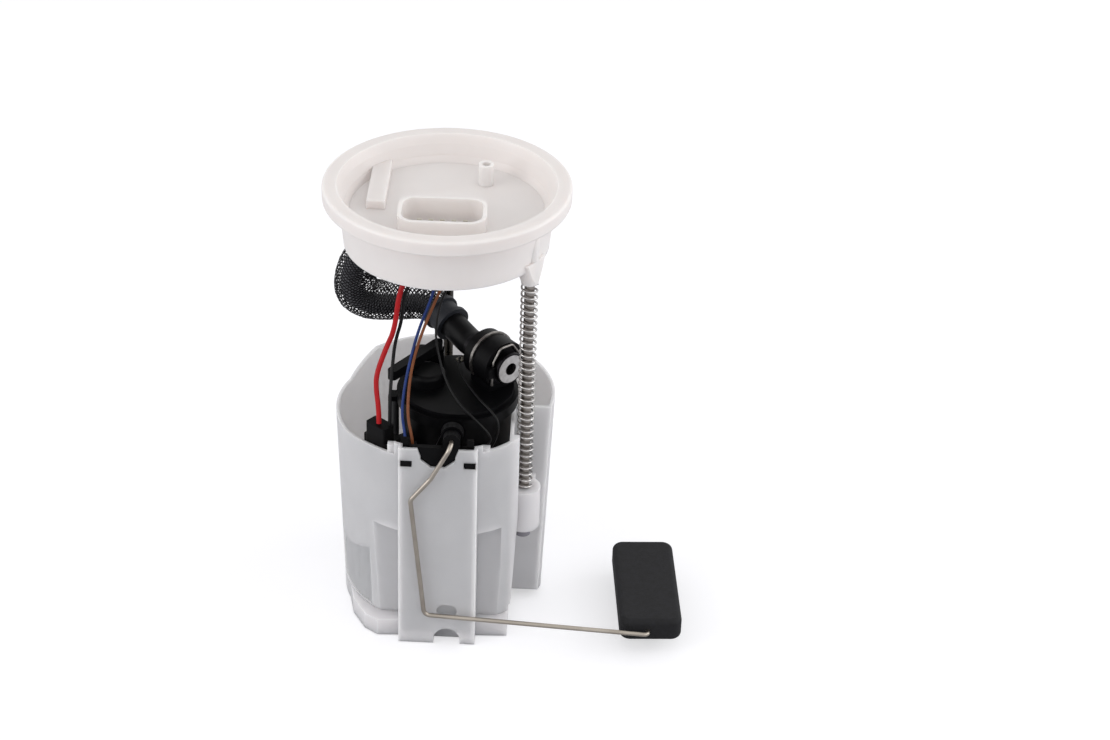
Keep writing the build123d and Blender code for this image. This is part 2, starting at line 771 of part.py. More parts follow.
# ---------------------------------------------------------------- fuel duct and collar
duct_start = regulator_face - duct_direction * holder_back
duct_corner = regulator_face - duct_direction * 36.0
duct_out = (duct_end - duct_corner).normalized()
fuel_duct = tube([duct_start, duct_corner, duct_end], duct_outer_radius, duct_inner_radius, [duct_bend])
save(fuel_duct, "fuel_duct")

collar_axis = Plane(origin=duct_end, z_dir=duct_out)
with BuildPart() as duct_collar:
    disc(collar_axis.offset(-7), (0, 0), duct_outer_radius + 1.5, 13)
    disc(collar_axis.offset(-7), (0, 0), collar_flange_radius, 2.5)
    disc(collar_axis.offset(3.5), (0, 0), collar_flange_radius, 2.5)
    disc(collar_axis.offset(-8), (0, 0), duct_outer_radius + seat_gap, 8.1, mode=Mode.SUBTRACT)
    disc(collar_axis.offset(-1), (0, 0), hose_radius + seat_gap, 8, mode=Mode.SUBTRACT)
save(duct_collar, "duct_collar")

# ---------------------------------------------------------------- fuel hose and its sleeve
# From the collar round the outside of the rods and up to the spigot under the lid, slack enough for the
# lid to slide down.
hose_bends = [
    (-28.0, 40.0, 157.0),
    (-43.5, 33.0, 162.5),
    (-53.5, 28.0, 174.5),
    (-50.0, 23.0, 197.0),
    (*hose_spigot, 209.0),
]
hose_route = [duct_end + duct_out * 0.2, duct_end + duct_out * 14.0, *hose_bends, (*hose_spigot, 228.0)]
sleeve_route = [duct_end + duct_out * 6.2, duct_end + duct_out * 14.0, *hose_bends, (*hose_spigot, 227.0)]
corrugated_hose = tube(hose_route, hose_radius, hose_bore_radius)
save(corrugated_hose, "corrugated_hose")
braided_sleeve = tube(sleeve_route, sleeve_outer_radius, sleeve_inner_radius)
save(braided_sleeve, "braided_sleeve")

# ---------------------------------------------------------------- wire guide, plug and ground parts
guide_end = (-27.0, -19.0)
with BuildPart() as wire_guide_arm:
    with BuildSketch(Plane.XY.offset(guide_arm_bottom)):
        SlotCenterToCenter(
            sqrt((guide_end[0] - post_centre[0]) ** 2 + (guide_end[1] - post_centre[1]) ** 2),
            5.5,
        )
    extrude(amount=guide_arm_height)
arm_turn = degrees(atan2(guide_end[1] - post_centre[1], guide_end[0] - post_centre[0]))
arm_middle = ((guide_end[0] + post_centre[0]) / 2, (guide_end[1] + post_centre[1]) / 2, 0)
with BuildPart() as guide_arm_placed:
    add(Location(arm_middle, (0, 0, arm_turn)) * wire_guide_arm.part)
    peg_hole_radius = guide_peg_radius + seat_gap
    disc(Plane.XY.offset(guide_arm_bottom - 1), post_centre, peg_hole_radius, 8, mode=Mode.SUBTRACT)
save(guide_arm_placed, "wire_guide_arm")

with BuildPart() as pump_plug:
    for centre, size, height in (
        (plug_foot_centre, (18.0, 11.0), plug_step),
        (plug_head_centre, (14.0, 8.0), plug_height),
    ):
        with BuildSketch(Plane.XY.offset(plug_bottom)):
            with Locations(centre):
                RectangleRounded(*size, 1.2, rotation=plug_turn)
        extrude(amount=height)
save(pump_plug, "pump_plug")

with BuildPart() as ground_terminal:
    with BuildSketch(holder_axis.offset(-31)):
        Circle(duct_outer_radius + 0.9)
        with Locations((-10.0, -3.9)):
            Rectangle(7.0, 1.0)
        Circle(duct_outer_radius + seat_gap, mode=Mode.SUBTRACT)
    extrude(amount=4)
save(ground_terminal, "ground_terminal")

with BuildPart() as ground_connector:
    with BuildSketch(pump_axis.rotated((0, 0, ground_angle)).offset(ground_bottom)):
        with Locations((housing_radius + 0.8 + 3.0, 0)):
            RectangleRounded(6.0, 10.0, 0.8)
    extrude(amount=ground_height)
save(ground_connector, "ground_connector")

# ---------------------------------------------------------------- level sender
# Bracket behind the front panel with its snaps in the panel windows, the resistor card on its back, and
# a boss above the notch that carries the pivot of the arm.
bracket_front = pot_wall - panel_front + seat_gap
bracket_back = bracket_front + bracket_thickness
bracket_top = pot_height
pivot_x, pivot_z = sender_pivot
boss_radius = 4.6
boss_back = -52.7
card_thickness = 0.8
with BuildPart() as sender_bracket:
    block(
        Plane.XY.offset(bracket_bottom),
        (0, (bracket_front + bracket_back) / 2),
        (bracket_width, bracket_thickness),
        bracket_top - bracket_bottom,
    )
    for side in (-1, 1):
        block(
            Plane.XY.offset(bracket_top - 1),
            (side * window_offset, bracket_back - 1),
            (3.6, 2.0),
            5.5,
        )
        block(
            Plane.XY.offset(window_z - 1.8),
            (side * window_offset, bracket_front - 0.8),
            (window_width - 0.8, 2.0),
            3.6,
        )
    disc(Plane.XZ.offset(-boss_back), sender_pivot, boss_radius, boss_back - bracket_front)
    block(
        Plane.XY.offset(bracket_top - 1),
        (pivot_x, (bracket_front + bracket_back) / 2),
        (2 * boss_radius, bracket_thickness),
        pivot_z - bracket_top + 1,
    )
    block(Plane.XY.offset(112.0), (-15.5, -51.5), (7.0, 7.5), 12.0)
    disc(
        Plane.XZ.offset(-boss_back - 1),
        sender_pivot,
        arm_wire_radius + pivot_gap,
        12,
        mode=Mode.SUBTRACT,
    )
save(sender_bracket, "sender_bracket")

with BuildPart() as resistor_card:
    block(Plane.XY.offset(104.0), (0, bracket_back + card_thickness / 2), (22.0, card_thickness), 20.0)
save(resistor_card, "resistor_card")

# ---------------------------------------------------------------- float arm, hub and contacts
float_corner = Vector(float_pivot[0], arm_plane, float_pivot[1])
float_axis = Vector(0, 1, 0).rotate(Axis.Z, float_yaw)
arm_route = [
    (pivot_x, -44.5, pivot_z),
    (pivot_x, arm_plane, pivot_z),
    (-3.4, arm_plane, 110.8),
    (-14.3, arm_plane, 96.5),
    (-6.6, arm_plane, 21.3),
    (float_pivot[0], arm_plane, float_pivot[1]),
    float_corner + float_axis * (float_hole_depth - 0.5),
]
float_arm = tube(arm_route, arm_wire_radius, radii=[arm_bend_radius] * 4 + [arm_end_bend])
save(float_arm, "float_arm")

hub_back = -47.5
hub_length = 5.0
with BuildPart() as arm_hub:
    disc(Plane.XZ.offset(-hub_back), sender_pivot, 6.0, hub_length)
    with BuildSketch(Plane.XZ.offset(-hub_back)):
        with BuildLine():
            lever_foot = [(pivot_x - 4, pivot_z + 3), (pivot_x + 4, pivot_z - 3)]
            Polyline([*lever_foot, (1.0, 114.0), (-4.0, 117.0)], close=True)
        make_face()
    extrude(amount=2.0)
    disc(Plane.XZ.offset(-hub_back - 1), sender_pivot, arm_wire_radius + pivot_gap, 8, mode=Mode.SUBTRACT)
save(arm_hub, "arm_hub")

contact_back = bracket_back + card_thickness + 0.2
contact_front = hub_back - 2.0

with BuildPart() as wiper_contacts:
    for x, z in ((-0.5, 117.5), (1.8, 120.8)):
        block(Plane.XY.offset(z - 0.8), (x, (contact_back + contact_front) / 2), (1.6, contact_front - contact_back), 1.6)
save(wiper_contacts, "wiper_contacts")

# ---------------------------------------------------------------- float
# A block of closed foam, turned a little so that its far end leans towards the pot, with a blind hole for
# the end of the arm.
float_plane = Plane(origin=float_corner, x_dir=float_axis.cross(Vector(0, 0, 1)), z_dir=(0, 0, 1))
float_hole = Plane(origin=float_corner, z_dir=float_axis)
with BuildPart() as float_body:
    block(
        float_plane.offset(-float_thickness / 2),
        (float_offset, float_gap + float_length / 2),
        (float_width, float_length),
        float_thickness,
    )
    fillet(float_body.edges().filter_by(Axis.Z), 6)
    float_ends = float_body.faces().sort_by(Axis.Z)
    fillet(float_ends[0].edges() + float_ends[-1].edges(), 3)
    disc(float_hole, (0, 0), arm_wire_radius + pivot_gap, float_hole_depth, mode=Mode.SUBTRACT)
save(float_body, "float")

# ---------------------------------------------------------------- lid
# Dished flange with a hanging skirt. Under its floor are the fuel passage, the sockets of the rods, the
# block of the electrical socket and four stiffening ribs.
skirt_slope = (lid_neck_radius - lid_skirt_radius) / (lid_rim_under - 2.5 - lid_skirt_bottom)
skirt_inside_top = lid_skirt_radius - lid_wall + skirt_slope * (lid_floor_under - lid_skirt_bottom)
block_bottom = 226.0
rod_top = 233.0
passage_bore = 2.6
nipple_bore = 2.3
spigot_radius_lid = hose_bore_radius - seat_gap

with BuildPart() as socket_trim:
    with BuildSketch(Plane.XY.offset(rod_socket_bottom - 1)):
        Circle(lid_rim_radius + 5)
        Circle(lid_neck_radius, mode=Mode.SUBTRACT)
    extrude(amount=lid_rim_under - rod_socket_bottom + 1)

with BuildPart() as lid:
    with BuildSketch(Plane.XZ):
        with BuildLine():
            Polyline(
                [
                    (0, lid_floor_under),
                    (skirt_inside_top, lid_floor_under),
                    (lid_skirt_radius - lid_wall, lid_skirt_bottom),
                    (lid_skirt_radius, lid_skirt_bottom),
                    (lid_neck_radius, lid_rim_under - 2.5),
                    (lid_neck_radius, lid_rim_under),
                    (lid_rim_radius, lid_rim_under),
                    (lid_rim_radius, lid_top),
                    (lid_opening_radius, lid_top),
                    (55.2, 249.0),
                    (53.5, 243.0),
                    (51.0, lid_floor_top),
                    (0, lid_floor_top),
                ],
                close=True,
            )
        make_face()
    revolve(axis=Axis.Z)
    lid_circles = lid.edges().filter_by(GeomType.CIRCLE)
    rim_edges = lid_circles.filter_by(lambda e: abs(e.radius - lid_rim_radius) < 0.01)
    fillet(rim_edges, 1.5)
    # ribs
    for angle in rib_angles:
        with BuildSketch(Plane.XY.rotated((0, 0, angle)).offset(lid_floor_under - rib_drop)):
            with Locations(((20 + skirt_inside_top) / 2, 0)):
                Rectangle(skirt_inside_top - 20, 2)
        extrude(amount=rib_drop)
    # electrical socket
    with BuildSketch(Plane.XY.offset(block_bottom)):
        with Locations(socket_centre):
            RectangleRounded(socket_length, socket_width, socket_corner)
    extrude(amount=socket_top - block_bottom)
    with BuildSketch(Plane.XY.offset(socket_floor)):
        with Locations(socket_centre):
            RectangleRounded(
                socket_length - 2 * socket_wall, socket_width - 2 * socket_wall, socket_corner - socket_wall
            )
    extrude(amount=socket_depth + 1, mode=Mode.SUBTRACT)
    # rod sockets
    for rod in (front_rod, back_rod):
        socket_height = lid_floor_top - rod_socket_bottom - 0.5
        disc(Plane.XY.offset(rod_socket_bottom), rod, rod_socket_radius, socket_height)
    with Locations((*front_rod, rod_socket_bottom + 1)):
        flare_align = (Align.CENTER, Align.CENTER, Align.MIN)
        Cone(rod_socket_radius, socket_flare_radius, socket_flare_height, align=flare_align)
    add(socket_trim.part, mode=Mode.SUBTRACT)
    for rod in (front_rod, back_rod):
        seat_depth = rod_top + 1.2 - rod_socket_bottom
        disc(Plane.XY.offset(rod_socket_bottom - 1), rod, rod_radius + seat_gap, seat_depth, mode=Mode.SUBTRACT)
    # fuel passage from the hose spigot to the nipple
    passage_run = Vector(*fuel_nipple) - Vector(*hose_spigot)
    passage_plane = Plane(origin=(*hose_spigot, passage_z), z_dir=(passage_run.X, passage_run.Y, 0))
    disc(passage_plane.offset(-5), (0, 0), passage_radius, passage_run.length + 10)
    passage_along = (passage_run.X, passage_run.Y, 0)
    duct_plane = Plane(origin=(*hose_spigot, passage_z), x_dir=passage_along, z_dir=(0, 0, 1))
    with BuildSketch(duct_plane):
        with Locations((passage_run.length / 2, 0)):
            Rectangle(passage_run.length + 10, 2 * passage_radius)
    extrude(amount=lid_floor_under - passage_z)
    disc(Plane.XY.offset(hose_spigot_bottom), hose_spigot, spigot_radius_lid, passage_z - hose_spigot_bottom)
    nipple_full_height = lid_floor_thickness + fuel_nipple_height
    disc(Plane.XY.offset(lid_floor_under), fuel_nipple, fuel_nipple_radius, nipple_full_height)
    disc(passage_plane.offset(-1), (0, 0), passage_bore, passage_run.length + 2, mode=Mode.SUBTRACT)
    spigot_bore_length = passage_z - hose_spigot_bottom + 1
    spigot_foot = Plane.XY.offset(hose_spigot_bottom - 1)
    disc(spigot_foot, hose_spigot, nipple_bore, spigot_bore_length, mode=Mode.SUBTRACT)
    disc(Plane.XY.offset(passage_z), fuel_nipple, nipple_bore, 30, mode=Mode.SUBTRACT)
    # vent channel along the dish floor and over the rim
    with BuildSketch(Plane.XY.offset(lid_floor_top)):
        with BuildLine():
            Polyline([(-41.85, -5), (-32.15, -5), (-32.15, 44), (-41.85, 35.5)], close=True)
        make_face()
    extrude(amount=5)
    # slots of the contact pins
    for index in range(pin_count):
        block(
            Plane.XY.offset(block_bottom - 1),
            (socket_centre[0] + (index - (pin_count - 1) / 2) * pin_pitch, socket_centre[1]),
            (pin_width, pin_thickness),
            10,
            mode=Mode.SUBTRACT,
        )
save(lid, "lid")

with BuildPart() as connector_pins:
    for index in range(pin_count):
        block(
            Plane.XY.offset(block_bottom),
            (socket_centre[0] + (index - (pin_count - 1) / 2) * pin_pitch, socket_centre[1]),
            (pin_width, pin_thickness),
            socket_floor + pin_rise - block_bottom,
        )
save(connector_pins, "connector_pins")

# ---------------------------------------------------------------- guide rods, end caps and spring
cap_recess = 1.2
front_cap_bottom = front_guide_bottom - loose_gap - rod_cap_height
back_cap_bottom = back_guide_bottom - loose_gap - rod_cap_height
for rod, cap_bottom, name in (
    (front_rod, front_cap_bottom, "guide_rod_front"),
    (back_rod, back_cap_bottom, "guide_rod_back"),
):
    with BuildPart() as guide_rod:
        disc(Plane.XY.offset(cap_bottom + cap_recess), rod, rod_radius, rod_top - cap_bottom - cap_recess)
    save(guide_rod, name)

with BuildPart() as rod_end_caps:
    for rod, cap_bottom in ((front_rod, front_cap_bottom), (back_rod, back_cap_bottom)):
        disc(Plane.XY.offset(cap_bottom), rod, rod_cap_radius, rod_cap_height)
        disc(
            Plane.XY.offset(cap_bottom + cap_recess),
            rod,
            rod_radius + seat_gap,
            rod_cap_height,
            mode=Mode.SUBTRACT,
        )
save(rod_end_caps, "rod_end_caps")

spring_low = front_guide_top + 0.1
spring_high = rod_socket_bottom - 0.1
spring_mean = spring_outer_radius - spring_wire_radius
spring_travel = spring_high - spring_low - 2 * spring_wire_radius
with BuildPart() as coil_spring:
    with BuildLine(Plane((*front_rod, spring_low + spring_wire_radius))) as coil_line:
        Helix(pitch=spring_travel / spring_turns, height=spring_travel, radius=spring_mean)
    with BuildSketch(Plane(origin=coil_line.line @ 0, x_dir=(1, 0, 0), z_dir=coil_line.line % 0)):
        Rectangle(1.8 * spring_wire_radius, 1.8 * spring_wire_radius)
    sweep(is_frenet=True)
save(coil_spring, "coil_spring")

# ---------------------------------------------------------------- wires
# Routes of the wires' centre lines, top first.
pin_foot = block_bottom - 0.5
pin_y = socket_centre[1]
pin_xs = [socket_centre[0] + (index - (pin_count - 1) / 2) * pin_pitch for index in range(pin_count)]
wire_routes = {
    "wire_red": (
        1.4,
        [
            (pin_xs[0], pin_y, pin_foot),
            (-15, -19, 217),
            (-23, -23.5, 203),
            (-25.3, -27, 180),
            (-29.5, -28, 170),
            (-34.8, -32, 155),
            (-34.6, -35.2, 147),
            (-32.9, -38.8, 137),
            (-32.8, -40.2, plug_bottom + plug_height + 0.5),
        ],
    ),
    "wire_black": (
        0.95,
        [
            (pin_xs[1], pin_y, pin_foot),
            (-10, -19, 216),
            (-20.5, -22, 202),
            (-21.7, -24, 184),
            (-25.3, -26, 172),
            (-26.5, -31, 157),
            (-27.1, -37, 145.5),
            (-27, -39.8, 137.5),
            (-26.9, -41.3, plug_bottom + plug_height + 0.4),
        ],
    ),
    "wire_blue": (
        0.8,
        [
            (pin_xs[2], pin_y, pin_foot),
            (-3, -17.5, 212),
            (-6, -18, 196),
            (-13.4, -22, 177),
            (-18, -30, 158),
            (-20, -36, 146),
            (-20.5, -41, 136),
            (-18.5, -48, 130),
            (-17.5, -51, 124.5),
        ],
    ),
    "wire_brown": (
        0.8,
        [
            (pin_xs[3], pin_y, pin_foot),
            (2.5, -17, 212),
            (-3.5, -18, 196),
            (-11.2, -23.4, 177),
            (-16, -29, 160),
            (-17.5, -37, 146),
            (-17, -45, 136),
            (-14.5, -50, 129),
            (-14, -51, 124.5),
        ],
    ),
    "ground_wire_long": (
        0.6,
        [
            (pin_xs[4], pin_y, pin_foot),
            (8, -13, 212),
            (-1.5, -10, 192),
            (-4.8, -16, 175),
            (-3, -20, 163),
            (1.5, -28, 151),
            (9, -38, 143),
            (19, -44.5, 136.5),
            (28, -45.5, 127),
            (25.5, -42.5, 120),
            (22.0, -38.9, ground_bottom + ground_height + 0.2),
        ],
    ),
    "ground_wire_short": (
        0.6,
        [
            (7.8, -0.2, 148.0),
            (6.5, -8, 147.0),
            (17.8, -30, 143),
            (29, -42, 139),
            (31.3, -44, 134),
            (30.5, -41.5, 124),
            (25.9, -36.7, ground_bottom + ground_height + 0.2),
        ],
    ),
}
for name, (radius, points) in wire_routes.items():
    wire = tube(points, radius)
    length = wire.part.volume / (pi * radius**2)
    print(name, "length", round(length), "bends", [round(value, 1) for value in bend_radii(points)])
    save(wire, name)
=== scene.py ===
"""Fuel pump module: a reservoir pot with its pump and filter, a sprung lid on two guide rods, and a level
sender with its float."""
from math import cos, pi, radians, sin

import bpy
from mathutils import Matrix, Vector


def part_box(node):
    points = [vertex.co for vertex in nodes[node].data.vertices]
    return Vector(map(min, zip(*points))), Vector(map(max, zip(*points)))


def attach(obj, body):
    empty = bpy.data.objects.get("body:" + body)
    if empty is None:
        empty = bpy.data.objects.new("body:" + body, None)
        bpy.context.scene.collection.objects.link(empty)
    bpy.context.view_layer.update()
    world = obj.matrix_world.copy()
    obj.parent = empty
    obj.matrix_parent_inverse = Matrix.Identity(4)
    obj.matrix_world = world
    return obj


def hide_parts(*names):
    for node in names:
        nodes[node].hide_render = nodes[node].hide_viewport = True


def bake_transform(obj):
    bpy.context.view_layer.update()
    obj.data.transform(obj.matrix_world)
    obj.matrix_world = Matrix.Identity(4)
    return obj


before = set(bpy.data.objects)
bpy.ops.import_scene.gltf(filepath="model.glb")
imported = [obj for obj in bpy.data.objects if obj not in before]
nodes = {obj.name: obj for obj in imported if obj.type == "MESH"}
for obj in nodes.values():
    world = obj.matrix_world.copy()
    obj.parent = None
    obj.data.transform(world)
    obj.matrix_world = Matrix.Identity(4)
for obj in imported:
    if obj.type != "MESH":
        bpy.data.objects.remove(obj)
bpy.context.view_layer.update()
MM = 0.001

# The sockets of a Mix node in its colour mode: the two colours and the result.
MIX_A = 6
MIX_B = 7
MIX_RESULT = 2


# ---------------------------------------------------------------- functions for every piece
def linear(hex_colour, alpha=1.0):
    """The linear colour of an sRGB hex value."""
    parts = [int(hex_colour[i : i + 2], 16) / 255 for i in (1, 3, 5)]
    return (*[p / 12.92 if p <= 0.04045 else ((p + 0.055) / 1.055) ** 2.4 for p in parts], alpha)


def new_object(name, data):
    """An object in the scene that shows some data."""
    thing = bpy.data.objects.new(name, data)
    bpy.context.scene.collection.objects.link(thing)
    return thing


def grow(tree, kind, settings=None, links=None):
    """Adds a node to a tree with its settings. Its sockets take values or other nodes' outputs."""
    node = tree.nodes.new(kind)
    for name, value in (settings or {}).items():
        setattr(node, name, value)
    for socket, value in (links or {}).items():
        if isinstance(value, bpy.types.NodeSocket):
            tree.links.new(value, node.inputs[socket])
        else:
            node.inputs[socket].default_value = value
    return node


def compute(tree, operation, *values):
    """The result of a math node. It takes values or other nodes' outputs."""
    return grow(tree, "ShaderNodeMath", {"operation": operation}, dict(enumerate(values))).outputs["Value"]


def object_place(tree):
    """The place of a shaded point in its object's coordinates."""
    return grow(tree, "ShaderNodeTexCoord").outputs["Object"]


def two_tones(tree, factor, dark, light, low=0.0, high=1.0):
    """A colour that goes from dark to light while a factor goes from low to high."""
    ramp = grow(tree, "ShaderNodeValToRGB", links={"Fac": factor})
    for element, position, colour in zip(ramp.color_ramp.elements, (low, high), (dark, light)):
        element.position = position
        element.color = linear(colour)
    return ramp.outputs["Color"]


def vary(tree, factor, middle, spread):
    """A value that wanders with a factor by a spread to either side of its middle."""
    limits = {"To Min": middle - spread, "To Max": middle + spread}
    return grow(tree, "ShaderNodeMapRange", links={"Value": factor, **limits}).outputs["Result"]


def blank_material(name):
    """A new material, its node tree, and its Principled shader wired to the output."""
    material = bpy.data.materials.new(name)
    material.use_nodes = True
    tree = material.node_tree
    tree.nodes.clear()
    shader = tree.nodes.new("ShaderNodeBsdfPrincipled")
    grow(tree, "ShaderNodeOutputMaterial", links={"Surface": shader.outputs["BSDF"]})
    return material, tree, shader


def moulded(name, light, dark, *, grain, bump, roughness, ior, patch=25 * MM):
    """Moulded plastic: two close tones in slow patches, and a fine grain that breaks up the sheen."""
    gloss_spread = 0.06
    grain_height = 0.05 * MM
    material, tree, shader = blank_material(name)
    place = object_place(tree)
    cloud = grow(
        tree,
        "ShaderNodeTexNoise",
        links={"Vector": place, "Scale": 1 / patch, "Detail": 3.0, "Roughness": 0.5},
    )
    tone = two_tones(tree, cloud.outputs["Fac"], dark, light, low=0.3, high=0.7)
    fine = grow(tree, "ShaderNodeTexNoise", links={"Vector": place, "Scale": 1 / grain, "Detail": 2.0})
    relief = grow(
        tree,
        "ShaderNodeBump",
        links={"Height": fine.outputs["Fac"], "Strength": bump, "Distance": grain_height},
    )
    tree.links.new(tone, shader.inputs["Base Color"])
    tree.links.new(vary(tree, fine.outputs["Fac"], roughness, gloss_spread), shader.inputs["Roughness"])
    tree.links.new(relief.outputs["Normal"], shader.inputs["Normal"])
    shader.inputs["IOR"].default_value = ior
    return material


def let_light_in(material, depth):
    """Makes a moulded material cloudy, with light that travels some way inside its wall."""
    cloudy = material.node_tree.nodes["Principled BSDF"]
    cloudy.inputs["Subsurface Weight"].default_value = 1.0
    cloudy.inputs["Subsurface Radius"].default_value = (1.0, 0.97, 0.94)
    cloudy.inputs["Subsurface Scale"].default_value = depth


def metal(name, light, dark, *, roughness, streak):
    """Bare metal with slow tone changes and a fine uneven polish."""
    gloss_spread = 0.08
    material, tree, shader = blank_material(name)
    polish = grow(
        tree,
        "ShaderNodeTexNoise",
        links={"Vector": object_place(tree), "Scale": 1 / streak, "Detail": 4.0},
    ).outputs["Fac"]
    tone = two_tones(tree, polish, dark, light, low=0.35, high=0.65)
    tree.links.new(tone, shader.inputs["Base Color"])
    tree.links.new(vary(tree, polish, roughness, gloss_spread), shader.inputs["Roughness"])
    shader.inputs["Metallic"].default_value = 1.0
    return material


def dress(material, *names):
    """Gives CAD nodes their material."""
    for name in names:
        mesh = nodes[name].data
        mesh.materials.clear()
        mesh.materials.append(material)


def sockets(tree):
    """The identifiers of a tree's inputs by name."""
    return {
        item.name: item.identifier
        for item in tree.interface.items_tree
        if item.item_type == "SOCKET" and item.in_out == "INPUT"
    }


def close_group(tree, shape, material):
    """Ends a geometry tree: its shape is shaded smooth, made real and given its material."""
    soft = grow(tree, "GeometryNodeSetShadeSmooth", links={"Geometry": shape})
    whole = grow(tree, "GeometryNodeRealizeInstances", links={"Geometry": soft.outputs["Geometry"]})
    coat = grow(
        tree,
        "GeometryNodeSetMaterial",
        links={"Geometry": whole.outputs["Geometry"], "Material": material},
    )
    grow(tree, "NodeGroupOutput", links={"Geometry": coat.outputs["Geometry"]})


def smooth_line(name, points):
    """A curve object whose spline is drawn smoothly towards a list of points in millimetres."""
    curve = bpy.data.curves.new(name, "CURVE")
    curve.dimensions = "3D"
    spline = curve.splines.new("NURBS")
    spline.points.add(len(points) - 1)
    for point, place in zip(spline.points, points):
        point.co = (*[value * MM for value in place], 1.0)
    spline.order_u = 3
    spline.use_endpoint_u = True
    curve.resolution_u = 12
    return new_object(name, curve)


def evaluated_mesh(source):
    """The mesh that an object evaluates to. The object itself is removed."""
    bpy.context.view_layer.update()
    shape = source.evaluated_get(bpy.context.evaluated_depsgraph_get())
    mesh = bpy.data.meshes.new_from_object(shape)
    bpy.data.objects.remove(source)
    return mesh


def as_mesh(source, name):
    """Turns what an object evaluates to into a plain mesh object."""
    mesh = evaluated_mesh(source)
    mesh.name = name
    return new_object(name, mesh)


def line_points(points):
    """The places along the smooth line of a route."""
    mesh = evaluated_mesh(smooth_line("route", points))
    places = [vertex.co.copy() for vertex in mesh.vertices]
    bpy.data.meshes.remove(mesh)
    return places


# ---------------------------------------------------------------- reservoir pot
# Injection-moulded natural acetal, the cup that holds fuel round the pump. The resin gives an off-white,
# slightly cloudy wall with a fine eroded grain and a soft sheen.
acetal_grain = 0.4 * MM
acetal_ior = 1.48
pot_light_depth = 12.0 * MM
natural_acetal = moulded(
    "natural_acetal", "#DAD8DA", "#D5D3D5", grain=acetal_grain, bump=0.35, roughness=0.46, ior=acetal_ior
)
let_light_in(natural_acetal, pot_light_depth)
dress(natural_acetal, "reservoir_pot")

# ---------------------------------------------------------------- inlet valve, pump rings and seals
# Moulded nitrile rubber: the umbrella over the inlet holes, the rings that hold the pump, the O-rings and
# the thin hose of the jet pump. Carbon-filled, so nearly black and dull.
nitrile = moulded(
    "nitrile_rubber", "#1E1E22", "#17171A", grain=0.6 * MM, bump=0.3, roughness=0.62, ior=1.52
)
dress(nitrile, "inlet_valve", "pump_isolators", "regulator_seals", "jet_hose")

# ---------------------------------------------------------------- filter housing and its black mouldings
# Black glass-filled nylon. The fibres at its skin scatter the light, so its highlights are broad and weak,
# and the index here is below the resin's own. The duct and the domed cap are a little glossier. The boot
# over the duct's collar is rubber, and the rods' end caps are grey acetal.
black_nylon = moulded(
    "black_nylon", "#08080A", "#060607", grain=0.5 * MM, bump=0.3, roughness=0.4, ior=1.2
)
dress(
    black_nylon,
    "filter_housing",
    "jet_pump",
    "regulator_holder",
    "pump_plug",
    "sender_bracket",
    "arm_hub",
    "ground_connector",
    "wire_guide_arm",
    "filter_cover",
    "pump_outlet_cap",
    "pump_inlet_cap",
)
duct_nylon = moulded(
    "dark_grey_nylon", "#0A0A0C", "#070708", grain=0.5 * MM, bump=0.3, roughness=0.4, ior=1.22
)
dress(duct_nylon, "fuel_duct")
boot_rubber = moulded(
    "grey_rubber_boot", "#24262C", "#1B1D22", grain=0.6 * MM, bump=0.3, roughness=0.5, ior=1.35
)
dress(boot_rubber, "duct_collar")
glossy_nylon = moulded(
    "glossy_black_nylon", "#1A1A1D", "#141416", grain=0.5 * MM, bump=0.2, roughness=0.3, ior=1.45
)
dress(glossy_nylon, "check_valve_cap")
grey_acetal = moulded(
    "grey_acetal", "#85838A", "#7B7980", grain=0.4 * MM, bump=0.3, roughness=0.5, ior=1.48
)
dress(grey_acetal, "rod_end_caps")

# ---------------------------------------------------------------- filter element and suction strainer
# Resin-treated pleated paper, and a fine woven nylon sock. Both are matt, and the sock shows its weave.
pleated_paper = moulded(
    "filter_paper",
    "#D8C48E",
    "#C9B47C",
    grain=0.3 * MM,
    bump=0.6,
    roughness=0.85,
    ior=1.45,
    patch=8 * MM,
)
dress(pleated_paper, "filter_element")

# A wave texture of scale 1 repeats every 0.314 m.
wave_repeat = 0.314
weave_pitch = 0.6 * MM
sock, tree, shader = blank_material("woven_nylon_sock")
place = object_place(tree)
waves = [
    grow(
        tree,
        "ShaderNodeTexWave",
        {"bands_direction": direction},
        {"Vector": place, "Scale": wave_repeat / weave_pitch},
    )
    for direction in ("X", "Y")
]
cloth = compute(tree, "MAXIMUM", waves[0].outputs["Fac"], waves[1].outputs["Fac"])
relief = grow(tree, "ShaderNodeBump", links={"Height": cloth, "Strength": 0.6, "Distance": 0.1 * MM})
tree.links.new(two_tones(tree, cloth, "#8E8C84", "#D9D7CE"), shader.inputs["Base Color"])
tree.links.new(relief.outputs["Normal"], shader.inputs["Normal"])
shader.inputs["Roughness"].default_value = 0.8
dress(sock, "suction_strainer")

# ---------------------------------------------------------------- pump can, regulator and metal fittings
# Zinc-plated drawn steel for the can, oiled spring steel for the regulator's clip and band, and tinned
# brass for the ground terminal, the pins and the contacts. Drawing leaves faint streaks in the roughness.
zinc_plate = metal("zinc_plated_steel", "#D4D2D0", "#C2C0BE", roughness=0.34, streak=3 * MM)
dress(zinc_plate, "pump_can")
clip_steel = metal("oiled_spring_steel", "#9C9894", "#787471", roughness=0.36, streak=1.5 * MM)
dress(clip_steel, "regulator_clip", "retaining_band")
tinned_brass = metal("tinned_brass", "#D8D4C8", "#C4BFB0", roughness=0.3, streak=2 * MM)
dress(tinned_brass, "ground_terminal", "connector_pins", "wiper_contacts")
# Dark steel: the ring of the ground terminal, and painted shade on the regulator's can behind its ring.
black_steel_and_painted_shade = metal("dark_steel_and_painted_shade", "#2B2A2C", "#1E1D1F", roughness=0.45, streak=3 * MM)
